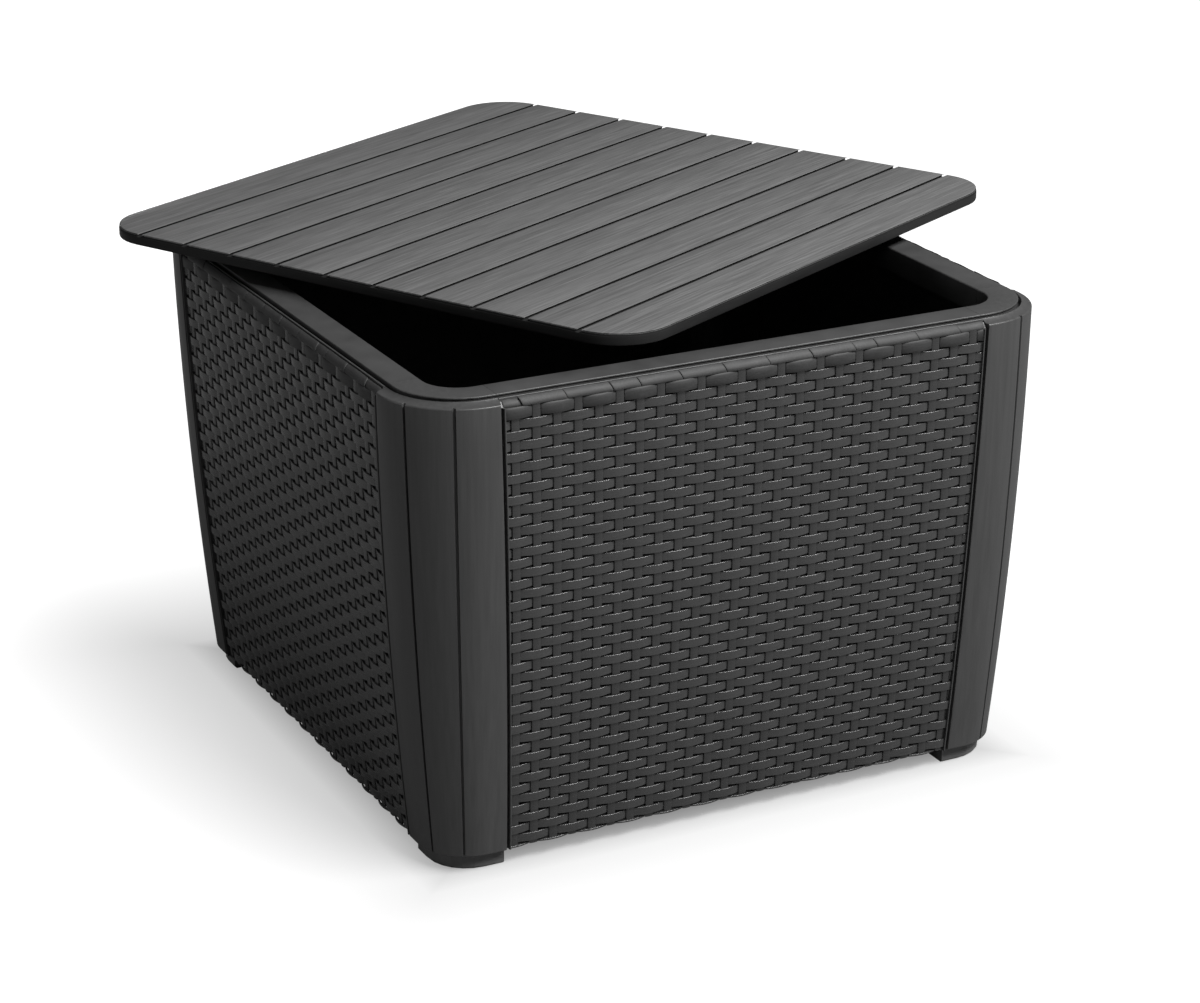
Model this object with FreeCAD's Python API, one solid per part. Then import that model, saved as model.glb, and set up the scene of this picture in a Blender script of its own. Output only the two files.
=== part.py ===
"""Square resin storage table: woven side panels between planked corner posts, with a loose slatted lid.

Millimetres, +Z up. The origin is on the floor, under the centre of the box. The front faces -Y.
The lid is at rest as it was left: turned aside, its locating bars lying on the rim of the box.
"""
import FreeCAD
import Part
import math
import os

V = FreeCAD.Vector
UP = V(0, 0, 1)
ORIGIN = V(0, 0, 0)

# Box: half widths of the barrelled wall, and heights
WALL_FOOT_Z = 15.5
WALL_TOP_Z = 421.0
WALL_FOOT_HALF = 283.0
WALL_TOP_HALF = 307.0
WALL_BULGE = 4.3
WALL_FACETS = 5
RIM_LEDGE_Z = 427.0
RIM_TOP_Z = 429.5
RIM_OUTER_HALF = 291.5
RIM_INNER_HALF = 270.0
RIM_OUTER_ROUND = 3.0
RIM_OUTER_FACETS = 2
RIM_STEP_WIDTH = 2.0
RIM_STEP_DROP = 1.3
RIM_INNER_CHAMFER = 1.5
RIM_GROOVE_WIDTH = 2.0
RIM_GROOVE_DEPTH = 2.5
RIM_THICK = 4.5
RIM_LIP_DROP = 22.0
RIM_LIP_THICK = 3.5

# Corner posts: the axis that every corner is turned about, and the line where post meets panel
CORNER_AXIS = 237.0
SPLIT_FOOT = 219.0
SPLIT_TOP = 229.5
SPLIT_GAP = 1.4
RIM_SEAM_GAP = 0.15
POST_WALL = 5.0
POST_SHOULDER_R = 2.5
POST_SHOULDER_Z = 424.0
POST_SHOULDER_FACETS = 2
POST_CAVITY_TURNS = (0.0, 30.0, 60.0, 90.0)
POST_BASE_THICK = 4.0
POST_BASE_INNER_HALF = 241.0
PLANK_SECTORS = ((0.0, 25.9), (28.1, 61.9), (64.1, 90.0))
PLANK_GROOVE_DEPTH = 2.2

# The flange of a post that a panel's edge lies on, and the hooks that hold the panel there
PANEL_WALL = 8.5
PANEL_ROLL_R = 7.0
PANEL_ROLL_FACETS = 3
SEAT_CLEARANCE = 0.2
FLANGE_THICK = 4.0
FLANGE_END = 195.0
FLANGE_FOOT_Z = 32.0
FLANGE_TOP_Z = 402.0
HOOK_HEIGHTS = (90.0, 215.0, 340.0)
HOOK_PLACE = 199.0
HOOK_WIDTH = 10.0
HOOK_HEIGHT = 12.0
HOOK_DROP = 10.0
HOOK_HEAD_THICK = 3.0
HOOK_CLEARANCE = 0.5

# Panel: courses of the woven face between plain borders, and the ledge that carries the floor
WEAVE_COURSES = 43
WEAVE_DEPTH = 3.8
WEAVE_CROWN = 2.0
WEAVE_EDGE = 1.6
WEAVE_BORDER = 1.8
WEAVE_FOOT_Z = 16.2
WEAVE_TOP_Z = RIM_LEDGE_Z - PANEL_ROLL_R
LEDGE_TOP_Z = 24.0
LEDGE_THICK = 4.0
LEDGE_INNER_HALF = 257.0

# Floor of the box
FLOOR_THICK = 4.0
FLOOR_HALF = 271.0
FLOOR_CORNER_R = 34.0
FLOOR_RIB_HALF = 250.0
FLOOR_RIB_DEPTH = 11.0
FLOOR_RIB_THICK = 3.0
FLOOR_RIB_PLACES = (-125.0, 0.0, 125.0)

# Feet
FOOT_OUTER_HALF = 275.0
FOOT_INNER_HALF = 245.0
FOOT_ARM_END = 219.5
FOOT_CHAMFER = 2.0
FOOT_ROUND_TURNS = (0.0, 15.0, 30.0, 45.0, 60.0, 75.0, 90.0)
FOOT_PEG_SIDE = 12.0
FOOT_PEG_HEIGHT = 7.5
FOOT_PEG_PLACE = 252.0
FOOT_PEG_CLEARANCE = 0.2

# Lid
LID_SIDE = 600.0
LID_CORNER_R = 50.0
LID_EDGE_HEIGHT = 10.8
LID_DECK_THICK = 5.0
LID_SKIRT_THICK = 4.0
LID_EDGE_CHAMFER = 1.2
SLAT_COUNT = 11
SLAT_GROOVE_WIDTH = 3.0
SLAT_GROOVE_DEPTH = 3.0
BAR_OUTER_HALF = 264.0
BAR_HALF_LENGTH = 215.0
BAR_THICK = 4.0
BAR_REACH = 14.2
LID_RIB_THICK = 3.0
LID_RIB_PLACES = (-150.0, 0.0, 150.0)
LID_TURN = 27.5
LID_CENTRE = V(22.9, 113.1, 0)

# How far a raised form is sunk into the wall that it is one moulding with
ROOT = 1.0

# Points closer than this are one point
SAME_POINT = 0.001

SIDES = {"right": 0, "back": 90, "left": 180, "front": 270}
CORNERS = {"back_right": 0, "back_left": 90, "front_left": 180, "front_right": 270}


def wall_breaks():
    """Heights and half widths where the barrelled wall changes slope, on the arc of its bulge."""
    foot = V(WALL_FOOT_HALF, 0, WALL_FOOT_Z)
    top = V(WALL_TOP_HALF, 0, WALL_TOP_Z)
    breaks = []
    for index in range(WALL_FACETS + 1):
        share = index / WALL_FACETS
        bulge = 4 * WALL_BULGE * share * (1 - share)
        point = foot + (top - foot) * share
        breaks.append((point.z, point.x + bulge))
    return breaks


BREAKS = wall_breaks()


def wall_half(z, depth=0.0):
    """Half width of the wall at height z, measured depth inside its outer face."""
    pairs = list(zip(BREAKS, BREAKS[1:]))
    (low_z, low_half), (high_z, high_half) = next((pair for pair in pairs if z <= pair[1][0]), pairs[-1])
    return low_half + (high_half - low_half) * (z - low_z) / (high_z - low_z) - depth


def split(z):
    """Half width of a panel at height z, to the middle of the gap beside it."""
    share = (z - WALL_FOOT_Z) / (WALL_TOP_Z - WALL_FOOT_Z)
    return SPLIT_FOOT + (SPLIT_TOP - SPLIT_FOOT) * share


def section_point(half, z):
    return V(half, 0, z)


def wall_points(foot_z, top_z, depth):
    """Points up the barrelled profile, depth inside the outer face."""
    heights = [foot_z] + [z for z, half in BREAKS if foot_z < z < top_z] + [top_z]
    return [section_point(wall_half(z, depth), z) for z in heights]


def quarter_points(start, end, corner, facets):
    """Points of a quarter round from start to end that takes the corner off, in a few flat steps."""
    centre = start + end - corner
    points = []
    for index in range(facets + 1):
        turn = math.pi / 2 * index / facets
        points.append(centre + (start - centre) * math.cos(turn) + (end - centre) * math.sin(turn))
    return points


def face_of(points):
    """Face inside a closed outline, given without its repeated points."""
    outline = []
    for point in points + points[:1]:
        if not outline or (point - outline[-1]).Length > SAME_POINT:
            outline.append(point)
    return Part.Face(Part.makePolygon(outline))


def rounded_rim_edge():
    """Outer edge of the rim on a post."""
    side = section_point(RIM_OUTER_HALF, RIM_TOP_Z - RIM_OUTER_ROUND)
    top = section_point(RIM_OUTER_HALF - RIM_OUTER_ROUND, RIM_TOP_Z)
    return quarter_points(side, top, section_point(RIM_OUTER_HALF, RIM_TOP_Z), RIM_OUTER_FACETS)


def stepped_rim_edge():
    """Outer edge of the rim on a panel."""
    step_z = RIM_TOP_Z - RIM_STEP_DROP
    step_half = RIM_OUTER_HALF - RIM_STEP_WIDTH
    return [
        section_point(RIM_OUTER_HALF, step_z),
        section_point(step_half, step_z),
        section_point(step_half, RIM_TOP_Z),
    ]


def rim_points(shoulder_z, shoulder_r, shoulder_facets, rim_edge):
    """Outer skin from the wall's top over its shoulder, ledge and rim, down to the rim's inner edge."""
    foot_z = shoulder_z - shoulder_r
    half = wall_half(foot_z)
    shoulder_foot = section_point(half, foot_z)
    shoulder_top = section_point(half - shoulder_r, shoulder_z)
    shoulder_corner = section_point(half, shoulder_z)
    groove_z = RIM_LEDGE_Z - RIM_GROOVE_DEPTH
    groove_outer = RIM_OUTER_HALF + RIM_GROOVE_WIDTH
    points = quarter_points(shoulder_foot, shoulder_top, shoulder_corner, shoulder_facets)
    points += [
        section_point(groove_outer, RIM_LEDGE_Z),
        section_point(groove_outer, groove_z),
        section_point(RIM_OUTER_HALF, groove_z),
    ]
    points += rim_edge
    points += [
        section_point(RIM_INNER_HALF + RIM_INNER_CHAMFER, RIM_TOP_Z),
        section_point(RIM_INNER_HALF, RIM_TOP_Z - RIM_INNER_CHAMFER),
    ]
    return points


def panel_rim_points():
    return rim_points(RIM_LEDGE_Z, PANEL_ROLL_R, PANEL_ROLL_FACETS, stepped_rim_edge())


def post_rim_points():
    return rim_points(POST_SHOULDER_Z, POST_SHOULDER_R, POST_SHOULDER_FACETS, rounded_rim_edge())


def under_rim_points(wall_depth):
    """Inner skin from the foot of the lip, under the rim and shoulder, to the inside of the wall."""
    lip_back = RIM_INNER_HALF + RIM_LIP_THICK
    under_z = RIM_TOP_Z - RIM_THICK
    ledge_under_z = RIM_LEDGE_Z - RIM_GROOVE_DEPTH - RIM_THICK
    step = RIM_OUTER_HALF - RIM_THICK
    inner_top_z = WALL_TOP_Z - RIM_THICK
    return [
        section_point(RIM_INNER_HALF, RIM_TOP_Z - RIM_LIP_DROP),
        section_point(lip_back, RIM_TOP_Z - RIM_LIP_DROP),
        section_point(lip_back, under_z),
        section_point(step, under_z),
        section_point(step, ledge_under_z),
        section_point(wall_half(WALL_TOP_Z, wall_depth) - RIM_THICK, ledge_under_z),
        section_point(wall_half(inner_top_z, wall_depth), inner_top_z),
    ]


def panel_section():
    """Section of a side panel: barrelled skin behind the weave, rim turned inward, ledge for the floor."""
    inner_top_z = WALL_TOP_Z - RIM_THICK
    ledge_under_z = LEDGE_TOP_Z - LEDGE_THICK
    points = wall_points(WALL_FOOT_Z, WEAVE_FOOT_Z, 0)
    points += wall_points(WEAVE_FOOT_Z, WEAVE_TOP_Z, WEAVE_DEPTH)
    points += panel_rim_points()
    points += under_rim_points(PANEL_WALL)
    points += reversed(wall_points(LEDGE_TOP_Z, inner_top_z, PANEL_WALL))
    points += [
        section_point(LEDGE_INNER_HALF, LEDGE_TOP_Z),
        section_point(LEDGE_INNER_HALF, ledge_under_z),
        section_point(wall_half(ledge_under_z, PANEL_WALL), ledge_under_z),
        section_point(wall_half(WALL_FOOT_Z, PANEL_WALL), WALL_FOOT_Z),
    ]
    return face_of(points)


def flank_section():
    """Section of a post's straight flank: skin, rim and base plate."""
    inner_top_z = WALL_TOP_Z - RIM_THICK
    base_top_z = WALL_FOOT_Z + POST_BASE_THICK
    points = wall_points(WALL_FOOT_Z, POST_SHOULDER_Z - POST_SHOULDER_R, 0)
    points += post_rim_points()
    points += under_rim_points(POST_WALL)
    points += reversed(wall_points(base_top_z, inner_top_z, POST_WALL))
    points += [
        section_point(POST_BASE_INNER_HALF, base_top_z),
        section_point(POST_BASE_INNER_HALF, WALL_FOOT_Z),
    ]
    return face_of(points)


def corner_section():
    """Section of a post's rounded corner, at the floor of the plank grooves and not yet hollow."""
    lip_foot_z = RIM_TOP_Z - RIM_LIP_DROP
    points = wall_points(WALL_FOOT_Z, POST_SHOULDER_Z - POST_SHOULDER_R, PLANK_GROOVE_DEPTH)
    points += post_rim_points()
    points += [
        section_point(RIM_INNER_HALF, lip_foot_z),
        section_point(POST_BASE_INNER_HALF, lip_foot_z),
        section_point(POST_BASE_INNER_HALF, WALL_FOOT_Z),
    ]
    return face_of(points)


def corner_outline(radius, turns, z, *more):
    """Outline at height z: points round the corner's axis, then the (x, y) places that follow."""
    points = []
    for turn in turns:
        angle = math.radians(turn)
        points.append(V(CORNER_AXIS + radius * math.cos(angle), CORNER_AXIS + radius * math.sin(angle), z))
    return points + [V(x, y, z) for x, y in more]


def flat_sided(rings):
    """Solid with flat sides between outlines of equal length, one above the other."""
    loops = [rings[0], rings[-1]]
    for lower, upper in zip(rings, rings[1:]):
        around = list(zip(lower, upper))
        for (a, above_a), (b, above_b) in zip(around, around[1:] + around[:1]):
            loops.append([a, b, above_b, above_a])
    faces = [Part.Face(Part.makePolygon(loop + loop[:1])) for loop in loops]
    return Part.makeSolid(Part.makeShell(faces))


def corner_cavity():
    """Hollow of a post's corner, narrowing under the rim to meet its lip."""
    lip_foot_z = RIM_TOP_Z - RIM_LIP_DROP
    base_top_z = WALL_FOOT_Z + POST_BASE_THICK
    top_z = lip_foot_z - RIM_THICK
    middle_z = (base_top_z + top_z) / 2
    half_step = math.radians(POST_CAVITY_TURNS[1] - POST_CAVITY_TURNS[0]) / 2
    levels = [(z, wall_half(z, POST_WALL) - CORNER_AXIS) for z in (base_top_z, middle_z, top_z)]
    levels.append((lip_foot_z, (RIM_INNER_HALF - CORNER_AXIS) / math.cos(half_step)))
    past_axis = CORNER_AXIS - ROOT
    rings = []
    for z, radius in levels:
        side = CORNER_AXIS + radius
        behind = [(past_axis, side), (past_axis, past_axis), (side, past_axis)]
        rings.append(corner_outline(radius, POST_CAVITY_TURNS, z, *behind))
    return flat_sided(rings)


def wall_strip(foot_z, top_z, outer_depth, inner_depth):
    """Section of a strip of wall between two depths."""
    outer = wall_points(foot_z, top_z, outer_depth)
    inner = wall_points(foot_z, top_z, inner_depth)
    return face_of(outer + inner[::-1])


def weave_section():
    """Section of the woven face: one flat-crowned strand for each course, with a groove between courses."""
    pitch = (WEAVE_TOP_Z - WEAVE_FOOT_Z) / WEAVE_COURSES
    outer = [section_point(wall_half(WEAVE_FOOT_Z, WEAVE_DEPTH), WEAVE_FOOT_Z)]
    for course in range(WEAVE_COURSES):
        low = WEAVE_FOOT_Z + course * pitch + WEAVE_EDGE
        high = low + pitch - 2 * WEAVE_EDGE
        crown = WEAVE_DEPTH - WEAVE_CROWN
        outer += [section_point(wall_half(z, crown), z) for z in (low, high)]
        top_z = high + WEAVE_EDGE
        outer.append(section_point(wall_half(top_z, WEAVE_DEPTH), top_z))
    inner = wall_points(WEAVE_FOOT_Z, WEAVE_TOP_Z, WEAVE_DEPTH + ROOT)
    return face_of(outer + inner[::-1])


def run_along_wall(section, start, end):
    """Extrude a section of the right-hand wall along Y, from start to end."""
    face = section.copy()
    face.translate(V(0, start, 0))
    return face.extrude(V(0, end - start, 0))


def prism_across_wall(outline):
    """Prism through the right-hand wall, from an outline of (y, z) points."""
    points = [V(0, y, z) for y, z in outline]
    wire = Part.makePolygon(points + points[:1])
    return Part.Face(wire).extrude(V(2 * WALL_TOP_HALF, 0, 0))


def panel_outline(inset):
    """Half outline of a panel seen square on, as (y, z): slanted edge, then the tight seam at the rim."""
    over_top_z = RIM_TOP_Z + ROOT
    seam = split(WALL_TOP_Z) - RIM_SEAM_GAP
    return [
        (split(0.0) - inset, 0.0),
        (split(WALL_TOP_Z) - inset, WALL_TOP_Z),
        (seam, WALL_TOP_Z),
        (seam, over_top_z),
    ]


def border_outline():
    """Outline of the plain border beside the woven face, as (y, z)."""
    inset = SPLIT_GAP + WEAVE_BORDER
    outer = [(split(z) - SPLIT_GAP, z) for z in (WEAVE_FOOT_Z, WEAVE_TOP_Z)]
    inner = [(split(z) - inset, z) for z in (WEAVE_TOP_Z, WEAVE_FOOT_Z)]
    return outer + inner


def hook(z):
    """Hook on the inside of the right-hand panel, through the flange of the back right post."""
    stem_z = z - HOOK_HEIGHT / 2
    head_z = stem_z - HOOK_DROP
    stem_outer = wall_half(z, PANEL_WALL - ROOT)
    head_outer = wall_half(head_z, PANEL_WALL + SEAT_CLEARANCE + FLANGE_THICK) - HOOK_CLEARANCE
    head_inner = head_outer - HOOK_HEAD_THICK
    stem = Part.makeBox(stem_outer - head_inner, HOOK_WIDTH, HOOK_HEIGHT, V(head_inner, HOOK_PLACE, stem_z))
    head_height = HOOK_HEIGHT + HOOK_DROP
    head = Part.makeBox(HOOK_HEAD_THICK, HOOK_WIDTH, head_height, V(head_inner, HOOK_PLACE, head_z))
    return stem.fuse(head)


def hook_slot(z):
    """Slot in a post's flange, tall enough for the hook's head to pass before it drops."""
    width = HOOK_WIDTH + 2 * HOOK_CLEARANCE
    height = HOOK_HEIGHT + HOOK_DROP + 2 * HOOK_CLEARANCE
    reach = PANEL_WALL + FLANGE_THICK
    corner = V(wall_half(z) - 2 * reach, HOOK_PLACE, z - HOOK_HEIGHT / 2)
    return Part.makeBox(2 * reach, width, height, corner - V(0, HOOK_CLEARANCE, HOOK_CLEARANCE))


def across_panel(shape):
    """The same shape at the other end of the right-hand panel."""
    return shape.mirror(ORIGIN, V(0, 1, 0))


def side_panel():
    """Right-hand panel; the other three are turned copies."""
    body = run_along_wall(panel_section(), -CORNER_AXIS, CORNER_AXIS)
    weave = run_along_wall(weave_section(), -CORNER_AXIS, CORNER_AXIS)
    border = run_along_wall(wall_strip(WEAVE_FOOT_Z, WEAVE_TOP_Z, 0, WEAVE_DEPTH + ROOT), 0, CORNER_AXIS)
    border = border.common(prism_across_wall(border_outline()))
    half = panel_outline(SPLIT_GAP)
    outline = half + [(-y, z) for y, z in reversed(half)]
    body = body.fuse(weave).common(prism_across_wall(outline))
    hooks = [hook(z) for z in HOOK_HEIGHTS]
    added = [border] + hooks
    return body.fuse(added + [across_panel(item) for item in added]).removeSplitter()


def post_flank():
    """Straight part of the back right post on the right-hand wall, with the flange behind the panel."""
    flank = run_along_wall(flank_section(), FLANGE_END, CORNER_AXIS)
    inner = panel_outline(-SPLIT_GAP)
    inner[2:] = [(y + 2 * RIM_SEAM_GAP, z) for y, z in inner[2:]]
    outline = inner + [(CORNER_AXIS + 1, inner[-1][1]), (CORNER_AXIS + 1, inner[0][1])]
    keep = prism_across_wall(outline)
    seat_depth = PANEL_WALL + SEAT_CLEARANCE
    back_depth = seat_depth + FLANGE_THICK
    thick = run_along_wall(wall_strip(FLANGE_FOOT_Z, FLANGE_TOP_Z, 0, back_depth), FLANGE_END, CORNER_AXIS)
    flange = run_along_wall(wall_strip(FLANGE_FOOT_Z, FLANGE_TOP_Z, seat_depth, back_depth),
                            FLANGE_END, CORNER_AXIS)
    flank = flank.common(keep).fuse([thick.common(keep), flange])
    for z in HOOK_HEIGHTS:
        flank = flank.cut(hook_slot(z))
    return flank


def mirrored_corner(shape):
    """The same shape on the other wall of the back right corner."""
    return shape.mirror(ORIGIN, V(1, -1, 0).normalize())


def turned_corner(section, start, sweep):
    """Sweep a section of the right-hand wall round the axis of the back right corner."""
    face = section.copy()
    face.translate(V(0, CORNER_AXIS, 0))
    axis = V(CORNER_AXIS, CORNER_AXIS, 0)
    face.rotate(axis, UP, start)
    return face.revolve(axis, UP, sweep)


def corner_post():
    """Back right post; the other three are turned copies."""
    shoulder_foot_z = POST_SHOULDER_Z - POST_SHOULDER_R
    core = turned_corner(corner_section(), 0, 90).cut(corner_cavity())
    strip = wall_strip(WALL_FOOT_Z, shoulder_foot_z, 0, PLANK_GROOVE_DEPTH + ROOT)
    planks = [turned_corner(strip, start, end - start) for start, end in PLANK_SECTORS]
    flank = post_flank()
    post = core.fuse(planks + [flank, mirrored_corner(flank)])
    axis_side = POST_BASE_INNER_HALF - CORNER_AXIS
    peg_side = FOOT_PEG_SIDE + 2 * FOOT_PEG_CLEARANCE
    peg_corner = FOOT_PEG_PLACE - peg_side / 2
    below_z = WALL_FOOT_Z - ROOT
    post = post.cut(Part.makeBox(axis_side, axis_side, FOOT_PEG_HEIGHT, V(CORNER_AXIS, CORNER_AXIS, below_z)))
    return post.cut(Part.makeBox(peg_side, peg_side, FOOT_PEG_HEIGHT, V(peg_corner, peg_corner, below_z)))


def foot():
    """Foot of the back right post: an angled pad with a peg that pushes into the post's base."""
    rings = []
    for z, inset in ((0, FOOT_CHAMFER), (FOOT_CHAMFER, 0), (WALL_FOOT_Z, 0)):
        outer = FOOT_OUTER_HALF - inset
        arms = [
            (FOOT_ARM_END, outer),
            (FOOT_ARM_END, FOOT_INNER_HALF),
            (FOOT_INNER_HALF, FOOT_INNER_HALF),
            (FOOT_INNER_HALF, FOOT_ARM_END),
            (outer, FOOT_ARM_END),
        ]
        rings.append(corner_outline(outer - CORNER_AXIS, FOOT_ROUND_TURNS, z, *arms))
    corner = FOOT_PEG_PLACE - FOOT_PEG_SIDE / 2
    peg = Part.makeBox(FOOT_PEG_SIDE, FOOT_PEG_SIDE, FOOT_PEG_HEIGHT, V(corner, corner, WALL_FOOT_Z))
    return flat_sided(rings).fuse(peg).removeSplitter()


def rounded_square(half, radius, foot_z, height):
    """Square prism with rounded upright edges."""
    block = Part.makeBox(2 * half, 2 * half, height, V(-half, -half, foot_z))
    upright = [edge for edge in block.Edges if abs(edge.tangentAt(edge.FirstParameter).z) > 0.9]
    return block.makeFillet(radius, upright)


def lattice(half, thick, foot_z, top_z, places):
    """Crossing ribs, each way at the same places."""
    height = top_z - foot_z
    ribs = []
    for place in places:
        start = place - thick / 2
        ribs.append(Part.makeBox(2 * half, thick, height, V(-half, start, foot_z)))
        ribs.append(Part.makeBox(thick, 2 * half, height, V(start, -half, foot_z)))
    return ribs


def floor_panel():
    """Ribbed floor that drops onto the panels' ledges."""
    plate = rounded_square(FLOOR_HALF, FLOOR_CORNER_R, LEDGE_TOP_Z, FLOOR_THICK)
    ribs = lattice(FLOOR_RIB_HALF, FLOOR_RIB_THICK, LEDGE_TOP_Z - FLOOR_RIB_DEPTH, LEDGE_TOP_Z,
                   FLOOR_RIB_PLACES)
    return plate.fuse(ribs).removeSplitter()


def locating_bars(foot_z, top_z):
    """Bars under the lid that drop inside the rim when it is closed."""
    bar = Part.makeBox(2 * BAR_HALF_LENGTH, BAR_THICK, top_z - foot_z,
                       V(-BAR_HALF_LENGTH, BAR_OUTER_HALF - BAR_THICK, foot_z))
    return [turned(bar, angle) for angle in SIDES.values()]


def slat_grooves(top_z):
    """Grooves between slats, which run out through the lid's edge."""
    half = LID_SIDE / 2
    pitch = LID_SIDE / SLAT_COUNT
    groove_z = top_z - SLAT_GROOVE_DEPTH
    cuts = []
    for index in range(1, SLAT_COUNT):
        start = index * pitch - half - SLAT_GROOVE_WIDTH / 2
        cuts.append(Part.makeBox(LID_SIDE, SLAT_GROOVE_WIDTH, SLAT_GROOVE_DEPTH, V(-half, start, groove_z)))
    return cuts


def lid():
    """Slatted lid with a skirt, locating bars and ribs underneath, lying askew on the rim."""
    half = LID_SIDE / 2
    hollow_half = half - LID_SKIRT_THICK
    skirt_z = RIM_TOP_Z + BAR_REACH
    top_z = skirt_z + LID_EDGE_HEIGHT
    under_z = top_z - LID_DECK_THICK
    deck = rounded_square(half, LID_CORNER_R, skirt_z, LID_EDGE_HEIGHT)
    top_edges = [edge for edge in deck.Edges if edge.BoundBox.ZMin > under_z]
    deck = deck.makeChamfer(LID_EDGE_CHAMFER, top_edges)
    deck = deck.cut(rounded_square(hollow_half, LID_CORNER_R - LID_SKIRT_THICK, skirt_z, under_z - skirt_z))
    deck = deck.cut(slat_grooves(top_z))
    ribs = lattice(hollow_half + 1, LID_RIB_THICK, skirt_z, under_z, LID_RIB_PLACES)
    shape = deck.fuse(ribs + locating_bars(RIM_TOP_Z, under_z)).removeSplitter()
    shape.rotate(ORIGIN, UP, LID_TURN)
    shape.translate(LID_CENTRE)
    return shape


def turned(shape, angle):
    copy = shape.copy()
    copy.rotate(ORIGIN, UP, angle)
    return copy


def build():
    nodes = {"lid": lid(), "floor_panel": floor_panel()}
    panel = side_panel()
    for side, angle in SIDES.items():
        nodes[side + "_panel"] = turned(panel, angle)
    corner_pieces = {"post": corner_post(), "foot": foot()}
    for corner, angle in CORNERS.items():
        for kind, shape in corner_pieces.items():
            nodes[corner + "_" + kind] = turned(shape, angle)
    return nodes


def export(nodes):
    os.makedirs("parts", exist_ok=True)
    for name, shape in nodes.items():
        shape.exportStep(os.path.join("parts", name + ".step"))
        box = shape.BoundBox
        print("%-24s solids %d valid %s volume %.0f x %.1f..%.1f y %.1f..%.1f z %.1f..%.1f" % (
            name, len(shape.Solids), shape.isValid(), shape.Volume,
            box.XMin, box.XMax, box.YMin, box.YMax, box.ZMin, box.ZMax))


export(build())
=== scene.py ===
"""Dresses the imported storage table: woven side panels, planked posts and a slatted lid in grey resin.

Sizes are in millimetres and turned into metres where a mesh is made. The box stands on the floor under the
frame's origin, with its front facing -Y. Every wall is first built as the right-hand one, which faces +X,
and every post as the back right one. The others are turned copies.
"""
import math

import bpy
from mathutils import Matrix, Vector


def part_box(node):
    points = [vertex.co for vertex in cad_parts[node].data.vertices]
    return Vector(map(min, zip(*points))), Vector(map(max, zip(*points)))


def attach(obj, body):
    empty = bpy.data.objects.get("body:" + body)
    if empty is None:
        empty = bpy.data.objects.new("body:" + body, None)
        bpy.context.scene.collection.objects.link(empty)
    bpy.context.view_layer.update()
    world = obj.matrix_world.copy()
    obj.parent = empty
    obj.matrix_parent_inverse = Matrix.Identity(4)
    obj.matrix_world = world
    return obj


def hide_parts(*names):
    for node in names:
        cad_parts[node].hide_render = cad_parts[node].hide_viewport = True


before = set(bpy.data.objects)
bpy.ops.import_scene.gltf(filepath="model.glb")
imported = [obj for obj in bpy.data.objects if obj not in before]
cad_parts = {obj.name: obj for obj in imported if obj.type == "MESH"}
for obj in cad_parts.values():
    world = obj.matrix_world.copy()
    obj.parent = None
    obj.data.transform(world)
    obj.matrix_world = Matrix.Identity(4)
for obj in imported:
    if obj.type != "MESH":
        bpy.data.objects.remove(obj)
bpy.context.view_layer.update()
MM = 0.001

SIDES = {"right": 0, "back": 90, "left": 180, "front": 270}
CORNERS = {"back_right": 0, "back_left": 90, "front_left": 180, "front_right": 270}

# Places that the frame gives
PANEL_LOW, PANEL_HIGH = (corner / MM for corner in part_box("right_panel"))
LID_LOW, LID_HIGH = (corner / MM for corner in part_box("lid"))
WALL_FOOT_Z = PANEL_LOW.z
WALL_TOP_HALF = PANEL_HIGH.x
RIM_TOP_Z = PANEL_HIGH.z
LID_CENTRE = (LID_LOW + LID_HIGH) / 2
LID_TOP_Z = LID_HIGH.z

# Small edges, how far joined forms run into each other, and how finely rounds are divided
CHAMFER = 0.4
DRAFT = 0.1
OVERLAP = 0.5
ROUND_STEPS = 4
SHARP_ANGLE = 35.0

# Barrelled wall and the line where post meets panel
WALL_TOP_Z = 421.0
WALL_FOOT_HALF = 283.0
WALL_BULGE = 4.3
WALL_LEVELS = 14
CORNER_AXIS = 237.0
CORNER_R = WALL_TOP_HALF - CORNER_AXIS
SPLIT_FOOT = 219.0
SPLIT_TOP = 229.5
SPLIT_GAP = 1.4
SEAM_GAP = 0.12

# Rim: a flat band with a groove round its outside and a lip down its inside
RIM_STEP = 2.5
RIM_LEDGE_Z = RIM_TOP_Z - RIM_STEP
RIM_LEDGE_STRIP = 2.0
RIM_OUTER_HALF = 295.0
RIM_INNER_HALF = 268.0
RIM_OUTER_ROUND = 0.9
RIM_INNER_ROUND = 1.6
RIM_INNER_STEPS = 3
RIM_UNDERCUT = 1.2
RIM_EDGE_HEIGHT = 1.6
RIM_EDGE_INSET = 0.2
RIM_GROOVE_WIDTH = 2.4
RIM_GROOVE_DEPTH = 5.0
RIM_THICK = 4.5
RIM_LIP_DROP = 22.0
RIM_LIP_THICK = 3.5

# Posts: a flank's stations are (share of the way from its edge to the corner, how far its face is lowered)
POST_SHOULDER_R = 1.6
POST_SHOULDER_Z = 424.0
POST_LEDGE_SHARES = (0.3, 0.6, 0.85)
POST_WALL = 5.0
POST_INNER_LEVELS = 6
POST_BASE_TOP_Z = 19.5
POST_BASE_INNER_HALF = 241.0
FLANK_STATIONS = ((0.0, 0.35), (0.03, 0.1), (0.09, 0.0), (0.5, 0.0))
PLANK_GROOVES = (27.0, 63.0)
PLANK_GROOVE_DEPTH = 2.8
PLANK_GROOVE_HALF = 1.15
PLANK_GROOVE_EDGE = 0.35
PLANK_GROOVE_REACH = 2.0
PLANK_GROOVE_POINTS = 17
PLANK_GROOVE_CLEAR = 3.2
PLANK_EDGE = 1.0
CORNER_STEP = 3.75

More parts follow.
